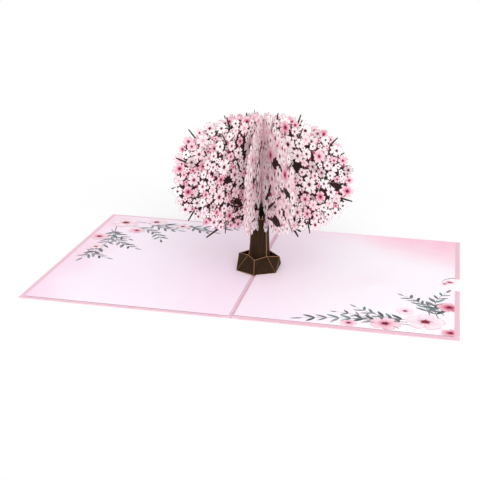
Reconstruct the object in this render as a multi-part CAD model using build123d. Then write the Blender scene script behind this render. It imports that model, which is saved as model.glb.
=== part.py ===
from build123d import *
import os
from math import cos, pi, radians, sin

# A greeting card that lies open, both leaves flat on the table, with a paper tree on its fold.
# X runs across the card to the right, Y along the spine to the back, Z up.
# The origin is the middle of the spine, on the underside of the cover. Sizes are in millimetres.

# Card: a 5 by 7 inch card, opened
leaf_width = 127.0
card_height = 178.0
cover_sheet = 0.35
crease_width = 0.6
crease_depth = 0.12

# Inner panels
panel_sheet = 0.25
border = 3.0
spine_strip = 3.0

# Pocket behind the right panel, its note card and the thumb notch
pocket_gap = 0.6
pocket_edge_width = 6.0
pocket_root_width = 14.5
note_sheet = 0.3
note_play = 0.8
notch_radius = 11.2

# Brown card of the trunk and the collar, and the tabs that hold them in the panels
brown_sheet = 0.3
slot_play = 0.1
tab_length = 14.0
trunk_tab_length = 8.0

# Trunk: a folded tube that narrows upwards
trunk_foot_width = 12.2
trunk_top_width = 9.0
trunk_top = 34.0

# Collar: a folded ring that is pinched in to the trunk's four corners
collar_front = 17.6
collar_side = 12.7
collar_side_length = 20.0
collar_bulge = 0.5
collar_height = 10.9
collar_side_height = 9.0
pinch_height = 10.3
pinch_play = 0.15

# Crown: six blossom planes crossing on one axis, each slotted for the others
plane_count = 6
blossom_sheet = 0.3
crossing_play = 0.24
stem_play = 0.4
stem_foot_lift = 0.05
short_stem = 14.0
neck_rise = 3.6
crown_radius = 58.0
crown_middle = 63.0
crown_rise = 37.5
crown_drop = 33.0
crown_clear = 6.6
upper_power = 2.0
lower_power = 3.4

# Blossoms cut into the crown's rim
blossom_radius = 3.25
blossom_gap = 0.35
blossom_inset = 1.3
petal_angle = 72.0
petal_half_angle = 23.0
petal_turn_angle = 9.0
petal_notch_share = 0.56
valley_share = 0.45
blossom_size_shares = (1.0, 0.8, 1.22, 0.88, 1.08, 0.76, 1.3, 0.92, 0.84, 1.14, 0.97)
blossom_inset_shares = (0.0, 0.7, 0.2, 1.0, 0.1, 0.5, 0.0, 0.85, 0.35)
petal_turn_shares = (0.0, 1.0, -0.6, 0.3, -1.0, 0.7)
half_start_count = 3
left_start_count = 5

# Twigs that stick out between the blossoms
twig_width = 1.1
twig_length = 2.0
twig_tip_share = 0.6
twig_every_count = 5
twig_length_shares = (1.0, 0.72, 1.3)

# The innermost blossom of each half, which hangs beside the trunk
neck_room = 4.0
neck_height = 31.9
neck_drop = 4.6
neck_drop_shares = (0.35, 0.0, 0.25, 0.1, 0.3, 0.5, 0.05, 1.0)

# Bare branch ends that hang out of the underside of two planes, as shares of the crown's radius and drop
branch_width = 1.8
branch_end_shares = {3: (((-0.34, -0.9), (-0.355, -1.02)), ((-0.35, -1.0), (-0.426, -1.206)),
                         ((-0.35, -1.0), (-0.452, -1.1))),
                     4: (((0.39, -0.94), (0.615, -1.2)),)}

# Gaps cut between the branches, placed round the crown's middle
gap_length = 5.2
gap_width = 2.4
gap_angles = (-52.0, -18.0, 14.0, 44.0, 72.0)
gap_lean_angle = 20.0
gap_reach_shares = (0.72, 0.6, 0.74, 0.56, 0.68, 0.5)
gap_outline_shares = ((-0.5, -0.08), (0.08, -0.5), (0.5, 0.06), (-0.1, 0.5))

# Windows cut between the boughs, fanned out from the top of the trunk
window_foot = 38.0
window_length = 17.0
window_width = 5.0
window_angles = (22.0, 46.0, 70.0)
window_reach_shares = (0.4, 0.35, 0.42, 0.33)
window_outline_shares = ((-0.5, 0.0), (0.05, -0.5), (0.5, 0.0), (0.15, 0.5))

# Heights that the layers give
left_top = cover_sheet + panel_sheet
right_under = cover_sheet + pocket_gap
right_top = right_under + panel_sheet
panel_half = card_height / 2 - border
panel_edge = leaf_width - border
spine_half = spine_strip / 2
cut_over = card_height

UP = (Align.CENTER, Align.CENTER, Align.MIN)


def block(low, high):
    """A plain block between two opposite corners."""
    size = [b - a for a, b in zip(low, high)]
    return Pos(*low) * Box(*size, align=(Align.MIN, Align.MIN, Align.MIN))


def polygon(points):
    """A flat face inside a closed line of points."""
    return make_face(Polyline(*points, close=True))


def thumb_notch():
    """The half moon punched through the free edge of the right leaf."""
    return Pos(leaf_width, 0, -cut_over) * Cylinder(notch_radius, 2 * cut_over, align=UP)


def trunk_half(height):
    """Half the trunk's outer width at a height above the table."""
    share = height / trunk_top
    return (trunk_foot_width + (trunk_top_width - trunk_foot_width) * share) / 2


def tab_slots():
    """Slots in the panels for the tabs of the collar and the trunk."""
    slots = []
    for side in (-1, 1):
        for wall_face, length in ((collar_side, tab_length), (trunk_half(left_top), trunk_tab_length)):
            middle = side * (wall_face - brown_sheet / 2)
            width = brown_sheet + 2 * slot_play
            slots.append(Pos(middle, 0, 0) * Box(width, length + 2 * slot_play, cut_over))
    return slots


def make_cover():
    """Pink sheet with a scored spine and the thumb notch."""
    sheet = Box(2 * leaf_width, card_height, cover_sheet, align=UP)
    half = crease_width / 2
    corners = [(-half, cover_sheet), (0, cover_sheet - crease_depth), (half, cover_sheet)]
    score = extrude(Plane.XZ * polygon(corners), card_height / 2, both=True)
    return sheet - score - thumb_notch()


def make_left_panel():
    """Printed panel glued flat on the left leaf."""
    sheet = block((-panel_edge, -panel_half, cover_sheet), (-spine_half, panel_half, left_top))
    return sheet - tab_slots()


def make_right_panel():
    """Printed panel over the pocket, with the thumb notch."""
    sheet = block((spine_half, -panel_half, right_under), (panel_edge, panel_half, right_top))
    return sheet - thumb_notch() - tab_slots()


def pocket_root():
    """Where the pocket ends, beside the tree."""
    return spine_half + pocket_root_width


def make_pocket_tape():
    """Tape on three sides of the pocket, under the right panel."""
    sheet = block((spine_half, -panel_half, cover_sheet), (panel_edge, panel_half, right_under))
    inner = panel_half - pocket_edge_width
    pocket = block((pocket_root(), -inner, 0), (leaf_width, inner, right_top))
    return sheet - pocket - tab_slots()


def make_notecard():
    """Loose card in the pocket, half way between its floor and its roof."""
    half = panel_half - pocket_edge_width - note_play
    low = cover_sheet + (pocket_gap - note_sheet) / 2
    return block((pocket_root() + note_play, -half, low), (panel_edge, half, low + note_sheet))


def make_trunk():
    """Tapering tube; its two side walls end in tabs through the panels."""
    def core(inset):
        foot = trunk_foot_width - 2 * inset
        top = trunk_top_width - 2 * inset
        ends = [Rectangle(foot, foot), Pos(0, 0, trunk_top) * Rectangle(top, top)]
        return loft(ends)

    half = trunk_tab_length / 2
    reach = trunk_foot_width
    tube = core(0) - core(brown_sheet)
    tube -= block((-reach, -reach, 0), (reach, reach, cover_sheet))
    for side, seat in ((-1, left_top), (1, right_top)):
        for end in (-1, 1):
            low = (min(0, side * reach), min(end * half, end * reach), 0)
            high = (max(0, side * reach), max(end * half, end * reach), seat)
            tube -= block(low, high)
        inner = side * (trunk_half(seat) - 2 * brown_sheet)
        tube -= block((min(0, inner), -half, 0), (max(0, inner), half, seat))
    return tube


def folded_ring(corners, facets, top_ring, bottom_ring, wall):
    """A closed band of folded card: flat facets outside, and the same moved in by the wall."""
    def facet_normal(names):
        a, b, c = (Vector(*corners[name]) for name in names)
        normal = (b - a).cross(c - a).normalized()
        outward = (a + b + c).dot(Vector(normal.X, normal.Y, 0))
        return normal if outward > 0 else normal * -1

    inner = {}
    for name, place in corners.items():
        total = Vector(0, 0, 0)
        meeting = [facet for facet in facets if name in facet]
        for facet in meeting:
            normal = facet_normal(facet)
            total += Vector(normal.X, normal.Y, 0).normalized()
        mean = total * (1 / len(meeting))
        inner[name] = Vector(*place) - mean * (wall / mean.dot(mean))
    outer = {name: Vector(*place) for name, place in corners.items()}

    def triangle(a, b, c):
        return Face(Wire.make_polygon([a, b, c]))

    faces = []
    for facet in facets:
        faces.append(triangle(*(outer[name] for name in facet)))
        faces.append(triangle(*(inner[name] for name in facet)))
    for ring in (top_ring, bottom_ring):
        for here, there in zip(ring, ring[1:] + ring[:1]):
            faces.append(triangle(outer[here], outer[there], inner[there]))
            faces.append(triangle(outer[here], inner[there], inner[here]))
    return Solid(Shell(faces))


def make_collar():
    """Folded ring round the trunk's foot, pinched at the trunk's corners, with two tabs."""
    pinch = trunk_half(pinch_height) + pinch_play + brown_sheet
    long_half = collar_side_length / 2
    side_out = collar_side + collar_bulge
    corners = {"front_low": (0, -collar_front, right_top), "front_high": (0, -collar_front, collar_height),
               "back_low": (0, collar_front, right_top), "back_high": (0, collar_front, collar_height)}
    facets = []
    for side, hand, seat in ((1, "right", right_top), (-1, "left", left_top)):
        corners[hand + "_out"] = (side * side_out, 0, collar_side_height)
        facets.append((hand + "_front", hand + "_out", hand + "_back"))
        for end, face in ((-1, "front"), (1, "back")):
            corners[hand + "_" + face] = (side * collar_side, end * long_half, seat)
            corners[hand + "_pinch_" + face] = (side * pinch, end * pinch, pinch_height)
            pinched = hand + "_pinch_" + face
            facets.append((face + "_low", face + "_high", pinched))
            facets.append((face + "_low", pinched, hand + "_" + face))
            facets.append((hand + "_" + face, pinched, hand + "_out"))
    top_ring = ["front_high", "right_pinch_front", "right_out", "right_pinch_back",
                "back_high", "left_pinch_back", "left_out", "left_pinch_front"]
    bottom_ring = ["front_low", "right_front", "right_back", "back_low", "left_back", "left_front"]
    ring = folded_ring(corners, facets, top_ring, bottom_ring, brown_sheet)
    for side, seat in ((1, right_top), (-1, left_top)):
        near = side * (collar_side - brown_sheet)
        far = side * collar_side
        half = tab_length / 2
        ring += block((min(near, far), -half, cover_sheet), (max(near, far), half, seat + brown_sheet / 2))
    return ring


def crown_line(steps=700):
    """Half the crown's outline as (out, up) places, from the underside to the top."""
    places = []
    for step in range(steps + 1):
        turn = pi * step / steps
        low = turn < pi / 2
        power = lower_power if low else upper_power
        height = crown_drop if low else crown_rise
        out = crown_radius * abs(sin(turn)) ** (2 / power)
        up = crown_middle - height * abs(cos(turn)) ** (2 / power) * (1 if low else -1)
        places.append((out, up))
    return places


def crown_places():
    """Places on the crown's outline with their outward directions, from the top down."""
    line = crown_line()
    places = []
    for before, after in zip(line, line[1:]):
        along = Vector(after[0] - before[0], after[1] - before[1]).normalized()
        middle = Vector(before[0] + after[0], before[1] + after[1]) / 2
        places.append((middle, Vector(along.Y, -along.X)))
    return places[::-1]


CROWN = crown_places()


def turned(direction, degrees):
    """A flat direction turned anticlockwise."""
    c, s = cos(radians(degrees)), sin(radians(degrees))
    return Vector(direction.X * c - direction.Y * s, direction.X * s + direction.Y * c)


def axis_half():
    """Half the width of the slot that clears the planes crossing at the axis."""
    step = pi / plane_count
    return blossom_sheet / 2 * (1 + cos(step)) / sin(step) + crossing_play


def neck_blossom(start, neighbour):
    """The blossom that fills the room between the trunk and the rim's innermost blossom."""
    middle, radius = neighbour[:2]
    own_radius = min(blossom_radius, (middle.X - radius - blossom_gap - crown_clear) / 2)
    drop = neck_drop * neck_drop_shares[start % len(neck_drop_shares)]
    return Vector(crown_clear + own_radius, neck_height - drop), own_radius, Vector(0, -1), 0, False


def rim_blossoms(start):
    """Middle, radius, outward direction, petal turn and twig of each blossom on one half's rim.

    They are set out from the top down, as close together as their circles allow, and listed upwards.
    """
    blossoms = []
    for place, outward in CROWN:
        index = start + len(blossoms)
        radius = blossom_radius * blossom_size_shares[index % len(blossom_size_shares)]
        inset = blossom_inset * blossom_inset_shares[index % len(blossom_inset_shares)]
        turn = petal_turn_angle * petal_turn_shares[index % len(petal_turn_shares)]
        middle = place - outward * (radius + inset)
        inner_limit = crown_clear + neck_room if place.Y < crown_middle else axis_half() + blossom_gap
        if middle.X - radius < inner_limit:
            continue
        twig = index % twig_every_count == 0
        if blossoms:
            room = blossoms[-1][1] + radius + blossom_gap
            if twig:
                room += 2 * twig_width + blossom_gap
            if (middle - blossoms[-1][0]).length < room:
                continue
        blossoms.append((middle, radius, outward, turn, twig))
    blossoms.append(neck_blossom(start, blossoms[-1]))
    return blossoms[::-1]


def blossom_outline(middle, radius, outward, turn):
    """The three petals of a blossom that stand out of the rim, with a notch between each two."""
    points = []
    for petal in (-1, 0, 1):
        tip = turn + petal * petal_angle
        if petal > -1:
            points.append(middle + turned(outward, tip - petal_angle / 2) * (radius * petal_notch_share))
        for side in (-1, 1):
            points.append(middle + turned(outward, tip + side * petal_half_angle) * radius)
    return points


def half_rim(start):
    """One half plane's rim from beside the trunk's top, round the side, to the axis at the top."""
    points = []
    blossoms = rim_blossoms(start)
    for count, (middle, radius, outward, turn, twig) in enumerate(blossoms):
        points += blossom_outline(middle, radius, outward, turn)
        if count == len(blossoms) - 1:
            break
        next_middle, next_radius = blossoms[count + 1][:2]
        between = next_middle - middle
        share = (between.length + radius - next_radius) / 2 / between.length
        along = between.normalized()
        out = turned(along, -90)
        valley = middle + between * share - out * (radius * valley_share)
        if twig:
            half_width = along * (twig_width / 2)
            length = twig_length * twig_length_shares[count % len(twig_length_shares)]
            tip = valley + out * (length + radius * (1 + valley_share))
            tip_half = half_width * twig_tip_share
            points += [valley - half_width, tip - tip_half, tip + tip_half, valley + half_width]
        else:
            points.append(valley)
    return [(point.X, point.Y) for point in points]


def cut_shape(side, middle, lean, outline_shares, length, width):
    """A gap of the given length and width that leans by an angle, on one side of the axis."""
    points = []
    for along_share, across_share in outline_shares:
        place = middle + turned(Vector(along_share * length, across_share * width), lean)
        points.append((side * place.X, place.Y))
    return polygon(points)


def bough_windows(side, shift):
    """Long windows between the boughs of one half plane."""
    windows = []
    for count, angle in enumerate(window_angles):
        reach = crown_radius * window_reach_shares[(count + shift) % len(window_reach_shares)]
        middle = Vector(0, window_foot) + turned(Vector(reach, 0), angle)
        windows.append(cut_shape(side, middle, angle, window_outline_shares, window_length, window_width))
    return windows


def branch_gaps(side, shift):
    """Gaps between the branches of one half plane."""
    gaps = []
    for count, angle in enumerate(gap_angles):
        reach_share = gap_reach_shares[(count + shift) % len(gap_reach_shares)]
        out = crown_radius * reach_share * cos(radians(angle))
        height = crown_rise if angle > 0 else crown_drop
        up = crown_middle + height * reach_share * sin(radians(angle))
        lean = angle + gap_lean_angle * (-1) ** (count + shift)
        gaps.append(cut_shape(side, Vector(out, up), lean, gap_outline_shares, gap_length, gap_width))
    return gaps


def bare_branches(index):
    """Pointed branch ends that hang below one plane of the crown."""
    branches = []
    for start_share, end_share in branch_end_shares.get(index, ()):
        start = Vector(start_share[0] * crown_radius, crown_middle + start_share[1] * crown_drop)
        end = Vector(end_share[0] * crown_radius, crown_middle + end_share[1] * crown_drop)
        half_width = turned((end - start).normalized(), 90) * (branch_width / 2)
        corners = [start - half_width, start + half_width, end + half_width / 2, end - half_width / 2]
        branches.append(polygon([(corner.X, corner.Y) for corner in corners]))
    return branches


def make_blossom_plane(index):
    """One die-cut plane of the crown: two blossom halves joined in their own band of the axis."""
    slot = axis_half()
    stem = trunk_top_width / 2 - brown_sheet - stem_play
    foot = cover_sheet + stem_foot_lift if index == 0 else trunk_top - short_stem
    crown_low = trunk_top + neck_rise
    crown_high = crown_middle + crown_rise - blossom_radius
    band = (crown_high - crown_low) / plane_count
    band_low = crown_low + band * index
    band_high = band_low + band

    def half(start):
        rim = half_rim(start)
        return [(stem, foot), (stem, crown_low), (crown_clear, crown_low)] + rim

    right = half(half_start_count * index)
    left = [(-x, y) for x, y in reversed(half(half_start_count * index + left_start_count))]
    points = right
    if index < plane_count - 1:
        points += [(slot, right[-1][1]), (slot, band_high), (-slot, band_high), (-slot, left[0][1])]
    points += left
    if index > 0:
        points += [(-slot, foot), (-slot, band_low), (slot, band_low), (slot, foot)]
    sheet = polygon(points)
    for side in (-1, 1):
        for gap in branch_gaps(side, index + side) + bough_windows(side, index + side):
            sheet -= gap
    for branch in bare_branches(index):
        sheet += branch
    plate = extrude(Plane.YZ * sheet, blossom_sheet / 2, both=True)
    return Rot(0, 0, 180 / plane_count * index) * plate


os.makedirs("parts", exist_ok=True)
parts = {"cover": make_cover(), "left_panel": make_left_panel(), "right_panel": make_right_panel(),
         "pocket_tape": make_pocket_tape(), "notecard": make_notecard(),
         "trunk": make_trunk(), "collar": make_collar()}
for number in range(plane_count):
    parts[f"blossom_plane_{number + 1}"] = make_blossom_plane(number)
for name, solid in parts.items():
    export_step(solid, f"parts/{name}.step")
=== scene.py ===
# %% [markdown]
# A pop up card with a blossom tree. The card lies open, and six die-cut sheets that are slotted
# into each other stand on its fold like a star.
#
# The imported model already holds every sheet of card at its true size, so this lesson starts by
# loading it and keeps those sheets as they are. What they lack is their print: the blossoms,
# boughs and leaves, the washes of colour and the grain of the paper.

# %% Load the card
import math
import random

import bmesh
import bpy
from mathutils import Matrix, Vector
from mathutils.bvhtree import BVHTree


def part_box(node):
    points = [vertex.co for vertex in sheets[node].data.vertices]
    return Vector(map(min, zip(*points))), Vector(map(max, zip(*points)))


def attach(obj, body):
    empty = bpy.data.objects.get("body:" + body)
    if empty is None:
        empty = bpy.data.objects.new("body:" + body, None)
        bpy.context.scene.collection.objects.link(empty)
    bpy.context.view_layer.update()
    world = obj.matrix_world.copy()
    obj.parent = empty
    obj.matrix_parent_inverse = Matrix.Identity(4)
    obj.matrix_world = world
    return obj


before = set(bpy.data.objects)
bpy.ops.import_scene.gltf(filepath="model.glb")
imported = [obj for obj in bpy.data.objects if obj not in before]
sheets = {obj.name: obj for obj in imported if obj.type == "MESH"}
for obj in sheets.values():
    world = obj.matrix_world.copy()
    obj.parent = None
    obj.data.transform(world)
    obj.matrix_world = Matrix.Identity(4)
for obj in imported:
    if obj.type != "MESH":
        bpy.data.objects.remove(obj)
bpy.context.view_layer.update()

mm = 0.001
print("sheets:", ", ".join(sorted(sheets)))


# %% [markdown]
# The camera stands low in front of the card and a little to its right. Its place was worked out
# from the card's corners, which are 254 by 178 mm apart. A camera can be aimed with a tracking
# constraint, or by writing its axes into its matrix, as here, which also takes a small roll.

# %% Camera
def link(item):
    bpy.context.scene.collection.objects.link(item)
    return item


def place_camera():
    turn, rise, roll = math.radians(11.0), math.radians(17.87), math.radians(1.42)
    distance, shift_right, shift_up = 666.8, -12.1, 18.0
    focal_pixels, picture_pixels, sensor_width = 1036.2, 480, 36
    back = Vector((math.sin(turn) * math.cos(rise), -math.cos(turn) * math.cos(rise), math.sin(rise)))
    level = Vector((0, 0, 1)).cross(back).normalized()
    upright = back.cross(level)
    right = math.cos(roll) * level + math.sin(roll) * upright
    up = math.cos(roll) * upright - math.sin(roll) * level
    place = back * distance * mm + right * shift_right * mm + up * shift_up * mm
    camera = link(bpy.data.objects.new("camera", bpy.data.cameras.new("camera")))
    camera.matrix_world = Matrix.Translation(place) @ Matrix((right, up, back)).transposed().to_4x4()
    camera.data.sensor_width = sensor_width
    camera.data.lens = focal_pixels / picture_pixels * sensor_width
    camera.data.clip_start = 0.01
    bpy.context.scene.camera = camera
    return camera


camera = place_camera()
print("camera at", [round(v / mm) for v in camera.location], "mm")


# %% [markdown]
# Colours are easiest to note as the red, green and blue from 0 to 255 that a screen shows. The
# shaders work with light, so one small function turns the screen's numbers into light.
#
# Materials are node trees. A few helpers add nodes and wire them up, so that each finish below
# reads as a short list.

# %% Colour and node helpers
def ink(red, green, blue):
    """A colour as light, from the numbers that a screen shows."""
    def light(value):
        share = value / 255
        return share / 12.92 if share <= 0.04045 else ((share + 0.055) / 1.055) ** 2.4
    return light(red), light(green), light(blue), 1.0


def feed(tree, node, inputs):
    """Each input is wired to the socket that it is given, or takes the value."""
    for key, value in dict(inputs).items():
        if isinstance(value, bpy.types.NodeSocket):
            tree.links.new(value, node.inputs[key])
        else:
            node.inputs[key].default_value = value


def add_node(tree, kind, inputs=(), **settings):
    node = tree.nodes.new("ShaderNode" + kind)
    for key, value in settings.items():
        setattr(node, key, value)
    feed(tree, node, inputs)
    return node


def calc(tree, operation, *values):
    """A Math node on one, two or three values."""
    return add_node(tree, "Math", enumerate(values), operation=operation).outputs[0]


def times(tree, first, second):
    return calc(tree, "MULTIPLY", first, second)


def split(tree, vector):
    """The x, y and z of a vector."""
    return add_node(tree, "SeparateXYZ", {0: vector}).outputs


def object_place(tree):
    return add_node(tree, "TexCoord").outputs["Object"]


def surface_way(tree):
    return add_node(tree, "TexCoord").outputs["Normal"]


def noise(tree, place, scale, detail, roughness=0.5):
    """A soft random value that changes with the place."""
    inputs = {"Vector": place, "Scale": scale, "Detail": detail, "Roughness": roughness}
    return add_node(tree, "TexNoise", inputs).outputs[0]


def blend(tree, share, first, second, mode="MIX"):
    """A mix of two colours."""
    mix = add_node(tree, "Mix", {0: share, 6: first, 7: second}, data_type="RGBA", blend_type=mode)
    return mix.outputs[2]


def ramp(tree, value, low, high):
    """0 below low and 1 above high, with a soft step between them."""
    step = add_node(tree, "MapRange", {0: value, 1: low, 2: high}, interpolation_type="SMOOTHSTEP")
    return step.outputs[0]


def start_material(name, inputs):
    """A material, its node tree and its Principled shader, which is fed the inputs."""
    material = bpy.data.materials.new(name)
    material.use_nodes = True
    tree = material.node_tree
    shader = tree.nodes["Principled BSDF"]
    feed(tree, shader, inputs)
    return material, tree, shader


WHITE = (1, 1, 1, 1)
print("half of screen white is", round(ink(128, 128, 128)[0], 3), "as light")


# %% [markdown]
# Soft studio light: a pale sky, brighter towards the horizon so that upright sheets get as much
# light as the level ones, and one large lamp up in front that gives them a gentle shade.
# Together they light a level sheet at about 1, so a colour renders about as it is written.
#
# The camera sees the sky as plain white. Light Path tells what kind of ray asks, so the light
# on the card and the white behind it can be set apart.

# %% Light
def light_studio(overhead=0.54, horizon=1.44, lamp_power=5.2, lamp_size=0.8):
    world = bpy.data.worlds.new("studio")
    world.use_nodes = True
    bpy.context.scene.world = world
    tree = world.node_tree
    tree.nodes.clear()
    path = add_node(tree, "LightPath")
    seen = calc(tree, "ADD", path.outputs["Is Camera Ray"], path.outputs["Is Glossy Ray"])
    seen = calc(tree, "MINIMUM", calc(tree, "ADD", seen, path.outputs["Is Transmission Ray"]), 1.0)
    rise = split(tree, add_node(tree, "TexCoord").outputs["Generated"])[2]
    rise = add_node(tree, "MapRange", {0: rise, 1: 0.0, 2: 1.0, 3: horizon, 4: overhead}).outputs[0]
    soft = add_node(tree, "Background", {"Color": WHITE, "Strength": rise})
    white = add_node(tree, "Background", {"Color": WHITE, "Strength": 1.0})
    mix = add_node(tree, "MixShader", {0: seen, 1: soft.outputs[0], 2: white.outputs[0]})
    out = add_node(tree, "OutputWorld", {0: mix.outputs[0]})
    lamp = bpy.data.lights.new("softbox", "AREA")
    lamp.shape = "SQUARE"
    lamp.size = lamp_size
    lamp.energy = lamp_power
    box = link(bpy.data.objects.new("softbox", lamp))
    place, target = Vector((0.28, -0.9, 0.56)), Vector((0, 0, 0.03))
    aim = (place - target).to_track_quat("Z", "Y").to_matrix().to_4x4()
    box.matrix_world = Matrix.Translation(place) @ aim
    return lamp


lamp = light_studio()
bpy.context.scene.view_settings.view_transform = "Standard"
print("lamp of", lamp.energy, "W")


# %% [markdown]
# The card lies on a plain white table. A large level plane does, a hair below the card. Its
# white shows shade where the card keeps the light off, and a little of its own light for the
# camera alone lifts the open floor to plain white.

# %% Floor
def set_mode(name):
    bpy.ops.object.mode_set(mode=name)


def clear_selection():
    """An operator acts on all that is selected, so nothing is left selected before a new piece."""
    if bpy.context.object and bpy.context.object.mode != "OBJECT":
        set_mode("OBJECT")
    for item in bpy.context.selected_objects:
        item.select_set(False)


def select_only(items):
    clear_selection()
    for item in items:
        item.select_set(True)
    bpy.context.view_layer.objects.active = items[0]


def lay_floor(size=6, gap=0.05 * mm, shade_end=0.14, white_start=0.3, own_light=0.1):
    clear_selection()
    bpy.ops.mesh.primitive_plane_add(size=size, location=(0, 0, -gap))
    floor = bpy.context.object
    floor.name = "floor"
    matt_white = {"Base Color": ink(247, 247, 248), "Roughness": 0.9, "Specular IOR Level": 0.0}
    material, tree, shader = start_material("white_table", matt_white)
    path = add_node(tree, "LightPath")
    glow = times(tree, path.outputs["Is Camera Ray"], own_light)
    feed(tree, shader, {"Emission Color": WHITE, "Emission Strength": glow})
    place = object_place(tree)
    away = add_node(tree, "VectorMath", {0: place}, operation="LENGTH").outputs["Value"]
    open_floor = ramp(tree, away, shade_end, white_start)
    far = times(tree, open_floor, path.outputs["Is Camera Ray"])
    white = add_node(tree, "Emission", {"Color": WHITE, "Strength": 1.0})
    mix = add_node(tree, "MixShader", {0: far, 1: shader.outputs[0], 2: white.outputs[0]})
    feed(tree, tree.nodes["Material Output"], {"Surface": mix.outputs[0]})
    floor.data.materials.append(material)
    return floor


floor = lay_floor()
print("floor at", round(floor.location.z / mm, 2), "mm")


# %% [markdown]
# All of this object is card and paper, and all of it has the same effect: a fine felt of fibres
# that shows as a faint mottle and a faint roughness. An effect that many materials share is
# made once as a node group. It takes a colour and gives it back mottled, with a height for the
# Bump node. The shader itself stays in each material.

# %% Paper grain group
FIBRE_HEIGHT = 0.04 * mm


def make_paper_grain():
    group = bpy.data.node_groups.new("paper_grain", "ShaderNodeTree")
    sockets = group.interface
    sockets.new_socket("Colour", in_out="INPUT", socket_type="NodeSocketColor")
    sockets.new_socket("Mottle", in_out="INPUT", socket_type="NodeSocketFloat").default_value = 0.05
    sockets.new_socket("Colour", in_out="OUTPUT", socket_type="NodeSocketColor")
    sockets.new_socket("Height", in_out="OUTPUT", socket_type="NodeSocketFloat")
    given = group.nodes.new("NodeGroupInput")
    place = object_place(group)
    fibres = noise(group, place, 2600, 3)
    cloud = noise(group, place, 90, 2)
    felt = calc(group, "MULTIPLY_ADD", cloud, 0.5, times(group, fibres, 0.5))
    shade = times(group, calc(group, "SUBTRACT", felt, 0.5), given.outputs["Mottle"])
    bright = calc(group, "ADD", 1.0, times(group, shade, 2.0))
    level = add_node(group, "CombineColor", {0: bright, 1: bright, 2: bright}).outputs[0]
    out = group.nodes.new("NodeGroupOutput")
    mottled = blend(group, 1.0, given.outputs["Colour"], level, "MULTIPLY")
    feed(group, out, {"Colour": mottled, "Height": fibres})
    return group


paper_grain = make_paper_grain()


def card_material(name, colour, mottle=0.05, roughness=0.75, relief=0.25, specular=0.25):
    """A matt card. colour is a colour, or a function that builds one in the material's tree."""
    finish = {"Roughness": roughness, "Specular IOR Level": specular}
    material, tree, shader = start_material(name, finish)
    grain = tree.nodes.new("ShaderNodeGroup")
    grain.node_tree = paper_grain
    feed(tree, grain, {"Mottle": mottle, "Colour": colour(tree) if callable(colour) else colour})
    felt = {"Strength": relief, "Distance": FIBRE_HEIGHT, "Height": grain.outputs["Height"]}
    bump = add_node(tree, "Bump", felt)
    feed(tree, shader, {"Base Color": grain.outputs["Colour"], "Normal": bump.outputs[0]})
    return material


def coat(item, material):
    """This material and no other. The mesh stays as it is."""
    item.data.materials.clear()
    item.data.materials.append(material)


print("paper grain:", [socket.name for socket in paper_grain.interface.items_tree])


# %% [markdown]
# The cover is one sheet of pink card. It shows as a border round both panels and as a strip
# along the fold. The strip is painted a little paler, as painted light against the shade that
# falls there, and a darker line is painted along the crease as painted shade in its groove.
# The crease lies on x = 0, so the distance from there is all that the colour needs to know.

# %% Cover
def cover_colour(tree):
    place = split(tree, object_place(tree))
    off_fold = calc(tree, "ABSOLUTE", place[0])
    # painted shade: a darker line along the crease stands in for the shade in its groove
    fold = ramp(tree, off_fold, 0.9 * mm, 0.2 * mm)
    # painted light: the strip beside the fold is paler, to offset the shade that falls on it
    strip = ramp(tree, off_fold, 5.5 * mm, 2.5 * mm)
    pink = blend(tree, strip, ink(240, 200, 213), ink(246, 213, 227))
    return blend(tree, times(tree, fold, 0.6), pink, ink(220, 166, 186))


coat(sheets["cover"], card_material("pink_card", cover_colour, mottle=0.06))
print("cover dressed, fold on x = 0")


# %% [markdown]
# Each panel carries a pale wash that a printer would have painted wet: nearly white in the
# middle and pink towards the outer edges. The lilac towards the tree is partly that wash and
# partly painted shade of the tree. A wash is a soft step along a direction of the panel, and a
# slow noise added to the place keeps it from looking ruled.
# The trimmed sides, whose normal doesn't point up, are darker and draw a fine line round it: partly the cut
# card, partly a painted shadow line along the edge.
#
# The plain white paper parts, the note card and the mounting tape, need only their grain.

# %% Panels, note card and tape
def washed_colour(paper, outer, outer_start, outer_end, side):
    def build(tree):
        coordinates = object_place(tree)
        wave = noise(tree, coordinates, 22, 3)
        place = split(tree, coordinates)
        drift = times(tree, calc(tree, "SUBTRACT", wave, 0.5), 40 * mm)
        across = calc(tree, "ADD", times(tree, place[0], side), drift)
        back = calc(tree, "ADD", place[1], drift)
        towards = calc(tree, "MULTIPLY_ADD", across, 0.55, back) if side > 0 else across
        edge = ramp(tree, towards, outer_start * mm, outer_end * mm)
        # painted shade: a lilac tint near the tree, partly the wash and partly the tree's shade
        near_tree_shade = ramp(tree, across, 72 * mm, 12 * mm)
        wash = blend(tree, edge, paper, outer)
        wash = blend(tree, times(tree, near_tree_shade, 0.55), wash, ink(253, 230, 249))
        cloud = ramp(tree, wave, 0.52, 0.7)
        wash = blend(tree, times(tree, cloud, 0.35), wash, ink(255, 236, 246))
        upright = split(tree, surface_way(tree))[2]
        # painted shadow: the sides are darker, for the shadow line along the panel's edge
        return blend(tree, calc(tree, "LESS_THAN", upright, 0.5), wash, ink(152, 126, 138))
    return build


left_wash = washed_colour(ink(255, 243, 255), ink(251, 216, 236), 92, 138, -1)
right_wash = washed_colour(ink(255, 249, 255), ink(254, 200, 220), 66, 150, 1)
coat(sheets["left_panel"], card_material("left_wash", left_wash, mottle=0.025, roughness=0.6))
coat(sheets["right_panel"], card_material("right_wash", right_wash, mottle=0.025, roughness=0.6))
coat(sheets["notecard"], card_material("note_white", ink(254, 252, 251), mottle=0.03))
coat(sheets["pocket_tape"], card_material("tape_white", ink(214, 184, 194), mottle=0.05))
print("washes on left_panel and right_panel")


# %% [markdown]
# Trunk and collar are dark brown card, printed with a faint bark: long streaks that run up the
# sheet. The Mapping node squeezes the coordinates along z, so the noise comes out long there.

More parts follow.
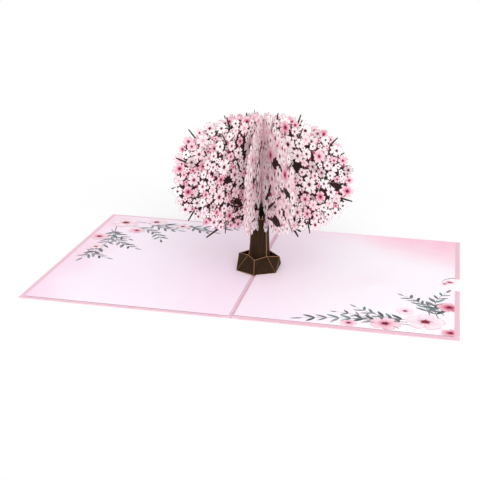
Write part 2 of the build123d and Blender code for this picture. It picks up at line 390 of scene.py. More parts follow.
# %% Brown card
def bark_colour(tree):
    coordinates = object_place(tree)
    stretched = add_node(tree, "Mapping", {"Vector": coordinates, "Scale": (1, 1, 0.12)}).outputs[0]
    streaks = noise(tree, stretched, 700, 4, 0.6)
    return blend(tree, ramp(tree, streaks, 0.35, 0.75), ink(42, 26, 12), ink(56, 39, 24))


brown_card = card_material("brown_card", bark_colour, mottle=0.1, roughness=0.7, relief=0.3, specular=0.1)
coat(sheets["trunk"], brown_card)
coat(sheets["collar"], brown_card)
print("brown card on trunk and collar")


# %% [markdown]
# Where printed card is folded or cut, its pale core shows as a thin light line. The lines follow
# the edges of the folded sheets, so they are taken from there: a copy of the sheet is merged,
# all but its sharp edges are deleted, and as a curve these get a round of a third of a millimetre.
# The collar's soft bends, of about 45 degrees, aren't scored and show no line.

# %% Fold lines
LEAST_FOLD = 9
SOFT_BEND_LOW, SOFT_BEND_HIGH = 44, 48
MERGE_DISTANCE = 0.001 * mm
FOLD_LINE_WIDTH = 0.34 * mm


def sharp_lines(sheet_name, name, material):
    """Thin round lines along the sharp edges of a folded sheet."""
    lines = sheets[sheet_name].copy()
    lines.data = sheets[sheet_name].data.copy()
    for key in list(lines.keys()):
        del lines[key]
    lines.parent = None
    lines.name = name
    select_only([link(lines)])
    set_mode("EDIT")
    bpy.ops.mesh.select_mode(type="EDGE")
    bpy.ops.mesh.select_all(action="SELECT")
    bpy.ops.mesh.remove_doubles(threshold=MERGE_DISTANCE)
    bpy.ops.mesh.select_all(action="DESELECT")
    shape = bmesh.from_edit_mesh(lines.data)
    for edge in shape.edges:
        fold = math.degrees(edge.calc_face_angle(0))
        edge.select = fold < LEAST_FOLD or SOFT_BEND_LOW < fold < SOFT_BEND_HIGH
    bmesh.update_edit_mesh(lines.data)
    bpy.ops.mesh.delete(type="EDGE_FACE")
    bpy.ops.mesh.select_all(action="SELECT")
    bpy.ops.mesh.delete(type="ONLY_FACE")
    set_mode("OBJECT")
    bpy.ops.object.convert(target="CURVE")
    lines = bpy.context.object
    lines.data.bevel_depth = FOLD_LINE_WIDTH / 2
    lines.data.bevel_resolution = 0
    bpy.ops.object.convert(target="MESH")
    lines = bpy.context.object
    coat(lines, material)
    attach(lines, "card")
    return lines


core_brown = card_material("brown_core", ink(158, 112, 78), mottle=0.2)
for sheet_name in ("collar", "trunk"):
    lines = sharp_lines(sheet_name, sheet_name + "_fold_lines", core_brown)
    print(lines.name, len(lines.data.polygons), "faces")


# %% [markdown]
# The six crossing sheets of the tree are turned about the z axis by 30 degrees from one to the
# next. A sheet's own flat drawing has u across it and z up it, and the print is laid out there.
#
# The cut rim is a row of blossoms, one close to the next. The rule that the cutter follows is
# repeated here, from the top of the crown downwards, so that each print lands on a cut blossom.

# %% The crown's rim
PLANES = 6
PLANE_TURN = 30
CROWN_RADIUS, CROWN_MIDDLE, CROWN_RISE, CROWN_DROP = 58 * mm, 63 * mm, 37.5 * mm, 33 * mm
UPPER_POWER, LOWER_POWER = 2.0, 3.4
RIM_RADIUS, RIM_GAP, RIM_INSET, PETAL_TURN = 3.25 * mm, 0.35 * mm, 1.3 * mm, 9
TWIG_WIDTH, TWIG_LENGTH, TWIG_EVERY, VALLEY_SHARE = 1.1 * mm, 2.0 * mm, 5, 0.45
HALF_START, LEFT_START = 3, 5
NECK_CLEAR, NECK_ROOM, NECK_HEIGHT, NECK_DROP = 6.6 * mm, 4.0 * mm, 31.9 * mm, 4.6 * mm
SIZE_SHARES = (1.0, 0.8, 1.22, 0.88, 1.08, 0.76, 1.3, 0.92, 0.84, 1.14, 0.97)
INSET_SHARES = (0.0, 0.7, 0.2, 1.0, 0.1, 0.5, 0.0, 0.85, 0.35)
TURN_SHARES = (0.0, 1.0, -0.6, 0.3, -1.0, 0.7)
TWIG_SHARES = (1.0, 0.72, 1.3)
DROP_SHARES = (0.35, 0.0, 0.25, 0.1, 0.3, 0.5, 0.05, 1.0)
SHEET_HALF = 0.15 * mm
CROSSING_PLAY = 0.24 * mm
AXIS_HALF = SHEET_HALF * (1 + math.cos(math.pi / PLANES)) / math.sin(math.pi / PLANES) + CROSSING_PLAY


def crown_places(steps=700):
    """Places on the crown's outline with their outward directions, from the top down."""
    line = []
    for step in range(steps + 1):
        turn = math.pi * step / steps
        low = turn < math.pi / 2
        power = LOWER_POWER if low else UPPER_POWER
        height = CROWN_DROP if low else CROWN_RISE
        out = CROWN_RADIUS * abs(math.sin(turn)) ** (2 / power)
        up = CROWN_MIDDLE - height * abs(math.cos(turn)) ** (2 / power) * (1 if low else -1)
        line.append(Vector((out, up)))
    places = []
    for before, after in zip(line, line[1:]):
        along = (after - before).normalized()
        places.append(((before + after) / 2, Vector((along.y, -along.x))))
    return places[::-1]


def rim_blossoms(start):
    """Middle, radius, outward direction, petal turn and twig of each blossom on one half sheet's rim."""
    found = []
    for place, outward in crown_places():
        index = start + len(found)
        radius = RIM_RADIUS * SIZE_SHARES[index % len(SIZE_SHARES)]
        inset = RIM_INSET * INSET_SHARES[index % len(INSET_SHARES)]
        middle = place - outward * (radius + inset)
        inner = NECK_CLEAR + NECK_ROOM if place.y < CROWN_MIDDLE else AXIS_HALF + RIM_GAP
        twig = index % TWIG_EVERY == 0
        room = found[-1][1] + radius + RIM_GAP if found else 0
        room += 2 * TWIG_WIDTH + RIM_GAP if twig and found else 0
        if middle.x - radius < inner or found and (middle - found[-1][0]).length < room:
            continue
        turn = PETAL_TURN * TURN_SHARES[index % len(TURN_SHARES)]
        found.append((middle, radius, outward, turn, twig))
    last = found[-1]
    radius = min(RIM_RADIUS, (last[0].x - last[1] - RIM_GAP - NECK_CLEAR) / 2)
    height = NECK_HEIGHT - NECK_DROP * DROP_SHARES[start % len(DROP_SHARES)]
    found.append((Vector((NECK_CLEAR + radius, height)), radius, Vector((0, -1)), 0, False))
    return found[::-1]


def rim_twigs(blossoms):
    """Foot, direction and length of each bare twig that stands out between two rim blossoms."""
    twigs = []
    for count, (here, after) in enumerate(zip(blossoms, blossoms[1:])):
        if here[4]:
            between = after[0] - here[0]
            along = between.normalized()
            out = Vector((along.y, -along.x))
            valley = here[0] + along * (between.length + here[1] - after[1]) / 2
            valley -= out * here[1] * VALLEY_SHARE
            length = TWIG_LENGTH * TWIG_SHARES[count % len(TWIG_SHARES)] + here[1] * (1 + VALLEY_SHARE)
            twigs.append((valley, out, length))
    return twigs


plane_sheets = [sheets["blossom_plane_" + str(index + 1)] for index in range(PLANES)]
halves = {}
for index in range(PLANES):
    halves[index, 1] = rim_blossoms(HALF_START * index)
    halves[index, -1] = rim_blossoms(HALF_START * index + LEFT_START)
print("rim blossoms:", [len(row) for row in halves.values()])


# %% [markdown]
# Under the large printed blossoms the sheet is covered with small pale petals over a dark red
# brown. Hundreds of petals are no shapes of their own: a Voronoi texture gives each point of
# the sheet its distance from the nearest of many scattered dots, and a soft step on that
# distance draws round petals with dark between them. The first two sheets stand nearly edge on
# to the camera, which squeezes their petals. Theirs are larger, on a pale ground. That pale
# ground and their mostly white inks are painted light: these two sheets stand in deep shade
# between their neighbours, and the paler print lifts them.
#
# The cut edge shows the pale core of the card. The sheet's flat faces point along its own
# normal and the edges don't, so the dot product of the two tells them apart.

# %% Blossom card
EDGE_ON_SHEETS = 2
NECK_HUB, NECK_SLOPE = 36 * mm, 0.8


def blossom_colour(index):
    angle = math.radians(PLANE_TURN * index)
    edge_on = index < EDGE_ON_SHEETS
    # painted light: the two edge-on sheets get a pale ground, to lift the shade between their neighbours
    ground_ink = ink(232, 204, 211) if edge_on else ink(44, 18, 22)
    petal_scale = 300 if edge_on else 430
    shift = (0, index * 0.31, index * 0.17)
    normal = (math.cos(angle), math.sin(angle), 0)

    def build(tree):
        turned_back = {"Vector": object_place(tree), "Rotation": (0, 0, -angle)}
        own = add_node(tree, "Mapping", turned_back).outputs[0]
        flattened = {"Vector": own, "Scale": (0, 1, 1), "Location": shift}
        flat = add_node(tree, "Mapping", flattened).outputs[0]
        dots = {"Vector": flat, "Scale": petal_scale, "Randomness": 0.9}
        petals = add_node(tree, "TexVoronoi", dots).outputs
        tints = add_node(tree, "SeparateColor", {0: petals["Color"]}).outputs
        petal = ramp(tree, petals["Distance"], 0.58, 0.42)
        tint = ramp(tree, tints[0], 0.35, 0.8)
        pale = blend(tree, tint, ink(250, 230, 234), ink(222, 168, 184))
        pale = blend(tree, ramp(tree, tints[1], 0.9, 0.94), pale, ink(128, 132, 112))
        pale = blend(tree, ramp(tree, tints[2], 0.88, 0.92), pale, ink(168, 52, 92))
        heart = ramp(tree, petals["Distance"], 0.16, 0.08)
        pale = blend(tree, times(tree, heart, 0.7), pale, ink(176, 70, 106))
        place = split(tree, own)
        across = calc(tree, "ABSOLUTE", place[1])
        high = ramp(tree, place[2], 52 * mm, 66 * mm)
        # painted light: high up near the crossing the ground turns pale, to lift the shade in the narrow
        # corners where the sheets meet
        fold = times(tree, ramp(tree, across, 7 * mm, 2 * mm), high)
        ground = blend(tree, fold, ground_ink, ink(246, 222, 227))
        shown = blend(tree, petal, ground, pale)
        off_hub = calc(tree, "ABSOLUTE", calc(tree, "SUBTRACT", place[2], NECK_HUB))
        from_neck = calc(tree, "ADD", times(tree, across, NECK_SLOPE), off_hub)
        neck = ramp(tree, from_neck, 13 * mm, 7 * mm)
        below = ramp(tree, place[2], 34 * mm, 31 * mm)
        brown = calc(tree, "MAXIMUM", neck, below)
        shown = blend(tree, brown, shown, ink(58, 40, 32))
        pair = {0: surface_way(tree), 1: normal}
        facing = add_node(tree, "VectorMath", pair, operation="DOT_PRODUCT").outputs["Value"]
        edge = calc(tree, "LESS_THAN", calc(tree, "ABSOLUTE", facing), 0.7)
        return blend(tree, times(tree, edge, 0.8), shown, ink(226, 202, 204))
    return build


for index, sheet in enumerate(plane_sheets):
    coat(sheet, card_material("blossom_card_" + str(index + 1), blossom_colour(index), roughness=0.65))
print("blossom card on six sheets")


# %% [markdown]
# A printed blossom has five petals, each with a cleft tip, a glow of pink round a dark heart,
# and a fine darker line where two petals meet. The shape is modelled once: a very low cone, whose
# rim is drawn in at the notches between the petals. The cone closes it from below, so it is a
# solid as thin as the ink.
#
# Its own UV map runs from the heart, 0, to the rim, 1, along every spoke, whatever the outline
# does. All the colour of a petal can then be drawn by that one distance and by the angle.

# %% Model one blossom
PETALS = 5


def start_cone(name, sides):
    """A cone of radius 1 and height 1 in edit mode, with a map that looks straight down on it."""
    clear_selection()
    bpy.ops.mesh.primitive_cone_add(
        vertices=sides, radius1=1, radius2=0, depth=1, end_fill_type="TRIFAN", location=(0, 0, 0.5))
    cone = bpy.context.object
    cone.name = name
    bpy.ops.object.transform_apply(location=True)
    set_mode("EDIT")
    shape = bmesh.from_edit_mesh(cone.data)
    uv = shape.loops.layers.uv.verify()
    for face in shape.faces:
        for loop in face.loops:
            loop[uv].uv = (0.5 + loop.vert.co.x / 2, 0.5 + loop.vert.co.y / 2)
    return cone, shape


def end_cone(cone):
    set_mode("OBJECT")
    cone.data.uv_layers[0].name = "petal_map"
    return cone


def scale_chosen(model, shape, chosen, across, along):
    """Scales the vertices that chosen picks, about the model's middle."""
    for vert in shape.verts:
        vert.select = chosen(vert.co)
    shape.select_flush_mode()
    bmesh.update_edit_mesh(model.data)
    bpy.ops.transform.resize(value=(across, along, 1), center_override=(0, 0, 0))


def shape_blossom(name, outline):
    """A blossom of radius 1 in the XY plane with a petal along +Y. outline gives one petal's rim."""
    spokes = PETALS * len(outline)
    blossom, shape = start_cone(name, spokes)
    for step, share in enumerate(outline):
        def at_step(place):
            spoke = round(math.degrees(math.atan2(place.x, place.y)) / 360 * spokes) % len(outline)
            return place.xy.length > 0.3 and spoke == step
        scale_chosen(blossom, shape, at_step, share, share)
    return end_cone(blossom)


def petal_marks(tree):
    """Distance from the heart and from the middle of the petal, both 0 to 1, and the angle."""
    place = add_node(tree, "UVMap", uv_map="petal_map").outputs[0]
    centred = add_node(tree, "VectorMath", {0: place, 1: (0.5, 0.5, 0)}, operation="SUBTRACT").outputs[0]
    off_heart = add_node(tree, "VectorMath", {0: centred}, operation="LENGTH").outputs["Value"]
    far = times(tree, off_heart, 2.0)
    parts = split(tree, centred)
    angle = calc(tree, "ARCTAN2", parts[0], parts[1])
    off_middle = calc(tree, "PINGPONG", times(tree, angle, PETALS / math.pi), 1.0)
    return far, off_middle, angle


def petal_colour(petal, glow, heart, line, glow_reach):
    def build(tree):
        far, off_middle, angle = petal_marks(tree)
        patch = noise(tree, object_place(tree), 160, 1)
        own = blend(tree, times(tree, ramp(tree, patch, 0.5, 0.75), 0.5), petal, glow)
        near = calc(tree, "ADD", far, times(tree, off_middle, -0.12))
        glowing = times(tree, ramp(tree, near, glow_reach, 0.12), 0.9)
        colour = blend(tree, glowing, own, glow)
        colour = blend(tree, times(tree, ramp(tree, far, 0.84, 1.0), 0.3), colour, line)
        seam = ramp(tree, off_middle, 0.84, 1.0)
        colour = blend(tree, times(tree, seam, 0.75), colour, line)
        rays = calc(tree, "PINGPONG", times(tree, angle, 2 * PETALS / math.pi), 1.0)
        dashes = ramp(tree, rays, 0.45, 0.2)
        ring = times(tree, ramp(tree, far, 0.44, 0.38), dashes)
        colour = blend(tree, times(tree, ring, 0.6), colour, heart)
        return blend(tree, ramp(tree, far, 0.29, 0.2), colour, heart)
    return build


def mix_petals(rows):
    """A material for each row: key, name, reach of the glow; inks of petal, glow, heart and line."""
    inks = {}
    for key, name, reach, *tints in rows:
        inks[key] = card_material(name, petal_colour(*(ink(*tint) for tint in tints), reach))
    return inks


rim_model = shape_blossom("rim_blossom", (0.88, 0.93, 0.94, 0.55, 0.94, 0.93))
small_model = shape_blossom("small_blossom", (0.9, 1.0, 0.66, 0.66, 1.0))
petal_inks = mix_petals((
    ("white", "white_petals", 0.6, (255, 252, 252), (252, 228, 233), (84, 18, 38), (226, 190, 199)),
    ("veil", "veil_petals", 0.6, (253, 232, 235), (248, 212, 220), (234, 164, 184), (232, 192, 202)),
    ("blush", "blush_petals", 0.6, (255, 240, 243), (246, 200, 213), (104, 22, 50), (218, 168, 182)),
    ("pink", "pink_petals", 0.6, (249, 212, 222), (228, 142, 172), (120, 20, 58), (198, 130, 152)),
    ("rose", "rose_petals", 0.85, (251, 214, 224), (206, 62, 112), (104, 10, 44), (214, 140, 166)),
    # painted shade: the grey ink is a shaded copy of the white petals
    ("grey", "shaded_petals", 0.6, (226, 210, 212), (196, 160, 170), (80, 26, 44), (150, 120, 128)),
))
print("one blossom has", len(rim_model.data.polygons), "faces,", len(petal_inks), "inks")


# %% [markdown]
# Leaves and limbs are the other printed shapes. A leaf is the same low cone with few sides,
# squeezed narrow and drawn out to a point. A limb is a strip that grows by extruding one edge
# again and again, shifted and narrowed a little each time, as a bough tapers and wanders.

# %% Model a leaf and the limbs
LEAF_WIDTH = 0.36


def shape_leaf(name, sides, width):
    """A leaf from -1 to 1 along Y: squeezed to its width, then narrowed to a point in two steps."""
    leaf, shape = start_cone(name, sides)
    for limit, share in ((-1, width), (0.5, 0.8), (0.75, 0.7)):
        scale_chosen(leaf, shape, lambda place: abs(place.y) > limit, share, 1)
    return end_cone(leaf)


def shape_limb(name, shifts, widths):
    """A strip of length 1 along +Y, of width 1 at its foot, that wanders by the shifts."""
    clear_selection()
    bpy.ops.mesh.primitive_plane_add(size=1, location=(0, 0, 0))
    limb = bpy.context.object
    limb.name = name
    set_mode("EDIT")
    shape = bmesh.from_edit_mesh(limb.data)
    bmesh.ops.delete(shape, geom=[vert for vert in shape.verts if vert.co.y > 0], context="VERTS")
    for item in list(shape.verts) + list(shape.edges):
        item.select = True
    bmesh.update_edit_mesh(limb.data)
    bpy.ops.mesh.select_mode(type="EDGE")
    bpy.ops.transform.translate(value=(0, 0.5, 0))
    middle, width = 0.0, 1.0
    for count, (shift, next_width) in enumerate(zip(shifts, widths)):
        bpy.ops.mesh.extrude_edges_move(TRANSFORM_OT_translate={"value": (shift, 1 / len(shifts), 0)})
        middle += shift
        share = next_width / width
        end = (middle, (count + 1) / len(shifts), 0)
        bpy.ops.transform.resize(value=(share, 1, 1), center_override=end)
        width = next_width
    set_mode("OBJECT")
    thick = limb.modifiers.new("ink", "SOLIDIFY")
    thick.thickness = 1.0
    thick.offset = 0
    bpy.ops.object.modifier_apply(modifier="ink")
    return limb


def leaf_colour(blade, rib):
    def build(tree):
        mapped = add_node(tree, "UVMap", uv_map="petal_map").outputs[0]
        place = split(tree, mapped)
        off_rib = calc(tree, "ABSOLUTE", calc(tree, "SUBTRACT", place[0], 0.5))
        slanted = calc(tree, "ADD", place[1], times(tree, off_rib, -0.6))
        veins = calc(tree, "PINGPONG", slanted, 0.07)
        vein = times(tree, ramp(tree, veins, 0.022, 0.006), 0.4)
        colour = blend(tree, ramp(tree, place[1], 0.1, 0.95), rib, blade)
        lines = calc(tree, "MAXIMUM", vein, ramp(tree, off_rib, 0.07, 0.02))
        return blend(tree, lines, colour, rib)
    return build


def mix_leaves(rows):
    """A material for each row: key, name, inks of blade and rib."""
    return {key: card_material(name, leaf_colour(ink(*blade), ink(*rib))) for key, name, blade, rib in rows}


leaf_model = shape_leaf("leaf", 12, LEAF_WIDTH)
twig_model = shape_limb("twig", (0.0, 0.1, -0.1, 0.05), (0.95, 0.85, 0.75, 0.6))
limb_models = [
    shape_limb("limb_one", (0.05, 0.04, -0.06, -0.05, 0.03, 0.05, 0.02),
               (0.86, 0.74, 0.64, 0.52, 0.42, 0.3, 0.16)),
    shape_limb("limb_two", (-0.04, -0.06, 0.02, 0.07, 0.05, -0.03, -0.04),
               (0.8, 0.76, 0.6, 0.55, 0.4, 0.32, 0.14)),
]
leaf_inks = list(mix_leaves((
    ("grey", "grey_leaves", (150, 158, 138), (104, 112, 98)),
    ("teal", "teal_leaves", (120, 150, 146), (76, 102, 104)),
)).values())
bough_ink = card_material("bough_print", bark_colour, mottle=0.2)
# painted shade: the dark patches stand in for the shade seen deep inside the crown
shade_ink = card_material("shade_print", ink(40, 22, 19), mottle=0.2)
print("leaf", len(leaf_model.data.polygons), "faces, limb", len(limb_models[0].data.polygons), "faces")


# %% [markdown]
# Now the print is laid out. The big blossoms are thrown first, at random but never closer than
# their petals allow, and then the smaller ones into the room that is left. This is how a
# full, even and still irregular pattern comes about. Each throw is tested against the cut
# sheet: rays are sent at its middle and at six places round it, and all must meet the card.
# Some dark patches are set out first, which the small blossoms leave free. They are painted
# shade: they stand in for the deep shade that one would see looking into the crown there.

# %% Lay out one half sheet
PATCHES, PATCH_THROWS = 4, 60
PATCH_TURNS = (0, 0.8, 1.57, 2.3, 3.14, 3.9, 4.7, 5.5)
# each layer: least and greatest radius in mm, throws, share of the radii that keeps two apart
LAYERS = ((4.7, 6.0, 60, 1.0), (3.2, 4.2, 300, 0.92), (2.3, 3.1, 900, 0.88), (1.5, 2.1, 1500, 0.82))
SMALL_LAYER = 3
depsgraph = bpy.context.evaluated_depsgraph_get()
faces = [BVHTree.FromObject(sheet, depsgraph) for sheet in plane_sheets]


def sheet_axes(index, side=1):
    """Across and normal directions of a sheet's front (side 1) or back (side -1)."""
    angle = math.radians(PLANE_TURN * index)
    across = Vector((-math.sin(angle), math.cos(angle), 0))
    normal = Vector((math.cos(angle), math.sin(angle), 0)) * side
    return across, normal


def flat_way(turn):
    """A direction in the flat drawing."""
    return Vector((math.cos(turn), math.sin(turn)))


def on_card(index, across, up):
    """Whether there is card at this place of the sheet."""
    along, normal = sheet_axes(index)
    start = along * across + Vector((0, 0, up)) + normal * 5 * mm
    hit = faces[index].ray_cast(start, -normal, 5.5 * mm)[0]
    return hit is not None


def fits_on_card(index, half, middle, radius, off_axis=1.1 * mm):
    """Whether a circle on a half sheet meets card at its middle and at six places of its rim."""
    if not on_card(index, half * middle.x, middle.y):
        return False
    for step in range(6):
        place = middle + flat_way(math.radians(60 * step)) * radius
        if place.x < off_axis or not on_card(index, half * place.x, place.y):
            return False
    return True


def patch_rim(middle, length, width, lean):
    """Places round the rim of a dark patch."""
    return [middle + lean @ Vector((length * math.cos(turn), width * math.sin(turn))) for turn in PATCH_TURNS]


def throw_shades(index, half, chance, across=(6, 52), lowest=39, widths=(2.6, 3.6), off_axis=1.5 * mm):
    """Dark patches between the blossoms: the middle, half the length, half the width and the lean.

    One half sheet shows its front to the camera at a slant, and gets long level ones.
    """
    shades = []
    slanted = (index, half) == (1, -1)
    highest, least, most, low, high = (78, 7, 10, -15, 25) if slanted else (92, 3.5, 5.5, 0, 180)
    for _ in range(PATCH_THROWS):
        middle = Vector((chance.uniform(*across) * mm, chance.uniform(lowest, highest) * mm))
        length = chance.uniform(least, most) * mm
        width = chance.uniform(*widths) * mm
        lean = Matrix.Rotation(math.radians(chance.uniform(low, high)), 2)
        rim = patch_rim(middle, length, width, lean)
        apart = all((middle - other).length > (length + far) * 0.8 for other, far, *rest in shades)
        fits = all(spot.x > off_axis and on_card(index, half * spot.x, spot.y) for spot in rim)
        if len(shades) < PATCHES and apart and fits:
            shades.append((middle, length, width, lean))
    return shades


def in_shade(spot, shades):
    for middle, length, width, lean in shades:
        off = (spot - middle) @ lean
        if (off.x / length) ** 2 + (off.y / width) ** 2 < 1:
            return True
    return False


def throw_blossoms(index, half, chance, across=(1.5, 58), up=(36, 101), neck_clear=10 * mm):
    """Places of the loose blossoms of one half sheet: the middle, the radius and the layer."""
    taken = [(middle, radius) for middle, radius, *rest in halves[index, half]]
    loose = []
    edge_on = index < EDGE_ON_SHEETS
    for layer, (least, most, throws, overlap) in enumerate(LAYERS[:SMALL_LAYER] if edge_on else LAYERS):
        for _ in range(throws * 3 if edge_on and layer == 0 else throws):
            middle = Vector((chance.uniform(*across) * mm, chance.uniform(*up) * mm))
            radius = chance.uniform(least, most) * mm
            from_neck = middle.x * NECK_SLOPE + abs(middle.y - NECK_HUB)
            if from_neck < neck_clear or layer > 1 and in_shade(middle, shades[index, half]):
                continue
            if any((middle - other).length < (radius + size) * overlap for other, size in taken):
                continue
            if fits_on_card(index, half, middle, radius * 0.9):
                taken.append((middle, radius))
                loose.append((middle, radius, layer))
    return loose


chance = random.Random(62)
shades = {key: throw_shades(key[0], key[1], chance) for key in halves}
loose_blossoms = {key: throw_blossoms(key[0], key[1], chance) for key in halves}
print("dark patches:", [len(row) for row in shades.values()])
print("loose blossoms:", [len(row) for row in loose_blossoms.values()])


# %% [markdown]
# Each printed shape is a copy of its model with its own mesh, laid on the sheet by a matrix:
# one axis along the petal, one across it, and the sheet's normal, along which the shape is only
# as thick as ink. Different kinds of print lie on different levels, up to a tenth of a
# millimetre off the sheet. All the copies on one sheet are joined to one piece that rides with
# the card.

# %% Print the sheets
INK = 0.03 * mm
UPWARDS = Vector((0, 0, 1))
# how far each kind of print lies off its sheet, in mm
PATCH_LIFT, BOUGH_LIFT, TWIG_LIFT, LEAF_LIFT, RIM_LIFT = 0.015, 0.02, 0.03, 0.033, 0.07
LAYER_LIFTS = (0.1, 0.085, 0.06, 0.045)
# each bough: angle above level, length and width in mm
BOUGHS = ((6, 36, 2.4), (34, 48, 3.0), (58, 50, 3.2))
BOUGH_FOOT = Vector((2.2 * mm, 37 * mm))
PATCH_SPREAD = 1.15
TWIG_ROOT, TWIG_OVERRUN = 1.5 * mm, 1.4 * mm
SMALL_LEAF, LEAF_SHARE = 2.4 * mm, 0.3


def lay_copy(model, material, place, direction, normal, length, width):
    """A copy of the model, its +Y along the direction and its +Z along the normal."""
    copy = model.copy()
    copy.data = model.data.copy()
    direction = direction.normalized()
    beside = direction.cross(normal)
    axes = Matrix((beside * width, direction * length, normal * INK)).transposed().to_4x4()
    copy.data.transform(Matrix.Translation(place) @ axes)
    coat(copy, material)
    return link(copy)


def join_pieces(name, copies, body="card"):
    select_only(copies)
    bpy.ops.object.join()
    piece = bpy.context.object
    piece.name = name
    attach(piece, body)
    return piece


def pick_ink(chance, index):
    """White and blush are the commonest inks, and on two of the sheets nearly the only ones."""
    # painted light: the edge-on sheets get nearly only white and blush inks, to lift their shade
    shares = (62, 22, 8, 4, 4, 0) if index < EDGE_ON_SHEETS else (23, 25, 15, 18, 12, 7)
    return petal_inks[chance.choices(("white", "blush", "veil", "pink", "rose", "grey"), shares)[0]]


def print_half(index, half, side, chance):
    """All the print on one side of a half sheet: boughs, patches, twigs, blossoms and small leaves."""
    along, normal = sheet_axes(index, side)
    copies = []

    def on_sheet(flat):
        return along * flat.x * half + Vector((0, 0, flat.y))

    def lay(model, material, flat, lift, out, length, width):
        place = on_sheet(flat) + normal * (SHEET_HALF + lift * mm)
        copies.append(lay_copy(model, material, place, on_sheet(out), normal, length, width))

    for rise, length, width in BOUGHS:
        out = flat_way(math.radians(rise + chance.uniform(-3, 3)))
        lay(chance.choice(limb_models), bough_ink, BOUGH_FOOT, BOUGH_LIFT, out, length * mm, width * mm)
    for middle, length, width, lean in shades[index, half]:
        out = lean @ Vector((1, 0))
        length, width = length * PATCH_SPREAD, width * PATCH_SPREAD / LEAF_WIDTH
        lay(leaf_model, shade_ink, middle, PATCH_LIFT, out, length, width)
    for valley, out, length in rim_twigs(halves[index, half]):
        foot = valley - out * TWIG_ROOT
        lay(twig_model, bough_ink, foot, TWIG_LIFT, out, length + TWIG_OVERRUN, TWIG_WIDTH)
    for middle, radius, outward, turn, twig in halves[index, half]:
        facing = Matrix.Rotation(math.radians(turn), 2) @ outward
        lay(rim_model, pick_ink(chance, index), middle, RIM_LIFT, facing, radius, radius)
    for middle, radius, layer in loose_blossoms[index, half]:
        facing = flat_way(chance.uniform(0, math.tau))
        model = small_model if layer == SMALL_LAYER else rim_model
        size = radius * chance.uniform(1.0, 1.08)
        lay(model, pick_ink(chance, index), middle, LAYER_LIFTS[layer], facing, size, size)
        if layer < 2 and chance.random() < LEAF_SHARE:
            out = flat_way(chance.uniform(0, math.tau))
            if fits_on_card(index, half, middle + out * radius * 1.3, SMALL_LEAF / 3):
                blade = chance.choice(leaf_inks)
                lay(leaf_model, blade, middle + out * radius, LEAF_LIFT, out, SMALL_LEAF, SMALL_LEAF)
    return copies


for index in range(PLANES):
    copies = []
    for half in (1, -1):
        for side in (1, -1):
            copies += print_half(index, half, side, random.Random(100 * index + 10 * half + side))
    piece = join_pieces("blossom_print_" + str(index + 1), copies)
    print(piece.name, len(copies), "shapes,", len(piece.data.polygons), "faces")


# %% [markdown]
# A spray of blossoms and long grey leaves is printed in one outer corner of each panel. The
# largest blossoms there are nearly twice the size of the largest on the tree, so their model
# has more spokes and round petals. The leaves come in four greys, one of them a little teal.

# %% Model the panel's blossom and leaf
petal_rim = (0.94, 0.97, 1.0, 0.98, 0.92, 0.8, 0.62, 0.8, 0.92, 0.98, 1.0, 0.97)
panel_blossom = shape_blossom("panel_blossom", petal_rim)
panel_leaf = shape_leaf("panel_leaf", 16, 0.24)
panel_inks = mix_petals((
    ("pale", "panel_pale_petals", 0.7, (255, 238, 244), (250, 204, 218), (128, 20, 52), (240, 186, 204)),
    ("pink", "panel_pink_petals", 0.8, (253, 222, 232), (240, 150, 180), (108, 14, 46), (226, 152, 176)),
    ("rose", "panel_rose_petals", 0.9, (250, 200, 216), (206, 48, 96), (110, 10, 44), (224, 130, 160)),
))
leaf_greys = mix_leaves((
    ("dark", "panel_dark_leaves", (104, 109, 113), (74, 79, 84)),
    ("grey", "panel_grey_leaves", (140, 146, 147), (104, 110, 113)),
    ("pale", "panel_pale_leaves", (186, 184, 189), (140, 138, 144)),
    ("teal", "panel_teal_leaves", (134, 168, 164), (92, 128, 126)),
))
stem_ink = card_material("panel_stems", ink(128, 124, 128), mottle=0.15)
print("panel blossom", len(panel_blossom.data.polygons), "faces")


# %% [markdown]
# Stems are limbs that bow to one side, and the leaves sit on them in pairs. The two sprays are
# laid out from their corner inwards, a along the card's width and b along its height, so the
# same helper prints both, one turned half round from the other. Where a petal runs off the
# panel, it is cut there with bisect, as a printed sheet is trimmed.

# %% Print the panels
STEM_WIDTH = 0.7 * mm
# heights above the panel, in mm: stems, the first pair of leaves and blossom, and the next ones
STEM_LIFT, BLADE_LIFT, BLADE_STEP, BLOSSOM_LIFT, BLOSSOM_STEP = 0.02, 0.01, 0.004, 0.11, 0.02
BARE_SHARE = 0.18


def bowed_stem(name, bow, width, sections=10):
    """A stem's model whose middle bows out by bow. Its shifts are told in widths."""
    line = [4 * bow * step / sections * (1 - step / sections) / width for step in range(sections + 1)]
    shifts = [after - before for before, after in zip(line, line[1:])]
    return shape_limb(name, shifts, [1 - 0.07 * step for step in range(1, sections + 1)])


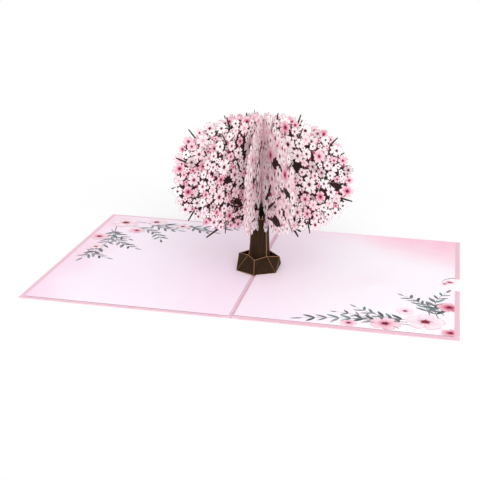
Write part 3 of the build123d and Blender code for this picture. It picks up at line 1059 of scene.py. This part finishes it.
def print_spray(name, corner, x_way, y_way, top, stems, blossoms, greys, chance):
    """A spray in one corner. A stem is told by start, end, bow, pairs of leaves and leaf length."""
    copies = []

    def place(a, b, lift):
        flat = Vector((corner[0] + x_way * a, corner[1] + y_way * b, 0))
        return flat * mm + UPWARDS * (top + lift * mm)

    for start, end, bow, pairs, leaf_length in stems:
        foot, tip = place(*start, STEM_LIFT), place(*end, STEM_LIFT)
        run = tip - foot
        along = run.normalized()
        aside = along.cross(UPWARDS)
        model = bowed_stem("stem_model", bow * mm, STEM_WIDTH)
        copies.append(lay_copy(model, stem_ink, foot, along, UPWARDS, run.length, STEM_WIDTH))
        bpy.data.objects.remove(model)
        for pair in range(pairs + 1):
            share = BARE_SHARE + (1 - BARE_SHARE) * pair / pairs
            joint = foot + run * share + aside * 4 * bow * mm * share * (1 - share)
            tangent = (run + aside * 4 * bow * mm * (1 - 2 * share)).normalized()
            size = leaf_length * mm / 2 * (1.05 - 0.35 * share) * chance.uniform(0.85, 1.15)
            for way in ((-1, 1) if pair < pairs else (0,)):
                out = Matrix.Rotation(math.radians(way * chance.uniform(30, 52)), 3, "Z") @ tangent
                blade = leaf_greys[chance.choices(("dark", "grey", "pale", "teal"), greys)[0]]
                spot = joint + out * size * 1.02 + UPWARDS * (BLADE_LIFT + BLADE_STEP * pair) * mm
                width = size * chance.uniform(0.9, 1.3)
                copies.append(lay_copy(panel_leaf, blade, spot, out, UPWARDS, size, width))
    for count, (a, b, radius, ink_name) in enumerate(blossoms):
        out = flat_way(chance.uniform(0, math.tau)).to_3d()
        spot = place(a, b, BLOSSOM_LIFT + BLOSSOM_STEP * count)
        size = radius * mm
        copies.append(lay_copy(panel_blossom, panel_inks[ink_name], spot, out, UPWARDS, size, size))
    spray = join_pieces(name, copies)
    trim_to_panel(spray, corner)
    return spray


def trim_to_panel(spray, corner):
    """Cuts off what runs past the two panel edges that meet in the corner."""
    select_only([spray])
    set_mode("EDIT")
    for x, y in ((corner[0], 0), (0, corner[1])):
        bpy.ops.mesh.select_all(action="SELECT")
        outward = Vector((x, y, 0)).normalized()
        bpy.ops.mesh.bisect(
            plane_co=Vector((x, y, 0)) * mm, plane_no=outward, use_fill=True, clear_outer=True)
    set_mode("OBJECT")


right_spray = print_spray(
    "right_panel_spray", (123.9, -85.9), -1, 1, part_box("right_panel")[1].z,
    [((18, 9), (84, 6), 5, 8, 10), ((8, 22), (5, 68), -5, 6, 9), ((22, 18), (56, 30), -4, 5, 9),
     ((14, 28), (30, 56), 4, 5, 8), ((44, 12), (66, 20), 2, 3, 7), ((26, 14), (44, 22), -2, 3, 8),
     ((6, 30), (20, 48), 2, 3, 8), ((30, 4), (52, 12), 2, 3, 7)],
    [(58, 5, 5.0, "pink"), (28, 31, 5.4, "pale"), (38, 9, 9.0, "pink"), (3, 43, 7.5, "rose"),
     (16, 17, 11.5, "pale"), (2, 4, 5.5, "rose")],
    (36, 40, 16, 8), random.Random(5))
left_spray = print_spray(
    "left_panel_spray", (-123.9, 85.9), 1, -1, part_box("left_panel")[1].z,
    [((20, 11), (98, 7), 5, 9, 10), ((9, 26), (9, 98), -5, 8, 10), ((20, 22), (48, 48), -5, 5, 9),
     ((14, 44), (36, 70), 4, 5, 9), ((56, 8), (80, 22), 3, 4, 8), ((6, 80), (24, 94), 2, 3, 8),
     ((30, 14), (54, 24), 2, 4, 8), ((8, 34), (26, 52), 2, 3, 8)],
    [(80, 5, 5.5, "rose"), (55, 14, 6.0, "pale"), (26, 32, 6.0, "pink"), (34, 9, 8.0, "pale"),
     (5, 52, 7.0, "pink"), (13, 16, 10.0, "pale"), (10, 74, 5.0, "pale")],
    (10, 42, 42, 6), random.Random(11))
for spray in (right_spray, left_spray):
    print(spray.name, len(spray.data.polygons), "faces")


# %% [markdown]
# Two small blossoms on the note card show through the thumb notch, and travel with the note.

# %% Print the note card
note_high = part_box("notecard")[1]
copies = []
for a, b, radius, ink_name, turn in ((3.2, 2.4, 3.0, "rose", 20), (6.4, -1.2, 2.6, "pink", 200)):
    spot = Vector((note_high.x - a * mm, b * mm, note_high.z + 0.02 * mm))
    out = Matrix.Rotation(math.radians(turn), 3, "Z") @ Vector((0, 1, 0))
    size = radius * mm
    copies.append(lay_copy(panel_blossom, panel_inks[ink_name], spot, out, UPWARDS, size, size))
note_print = join_pieces("note_blossoms", copies, "note")
print(note_print.name, len(note_print.data.polygons), "faces")


# %% [markdown]
# The models were only patterns to copy from, so they go.

# %% Finish
for model in [rim_model, small_model, leaf_model, twig_model, panel_blossom, panel_leaf] + limb_models:
    bpy.data.objects.remove(model)
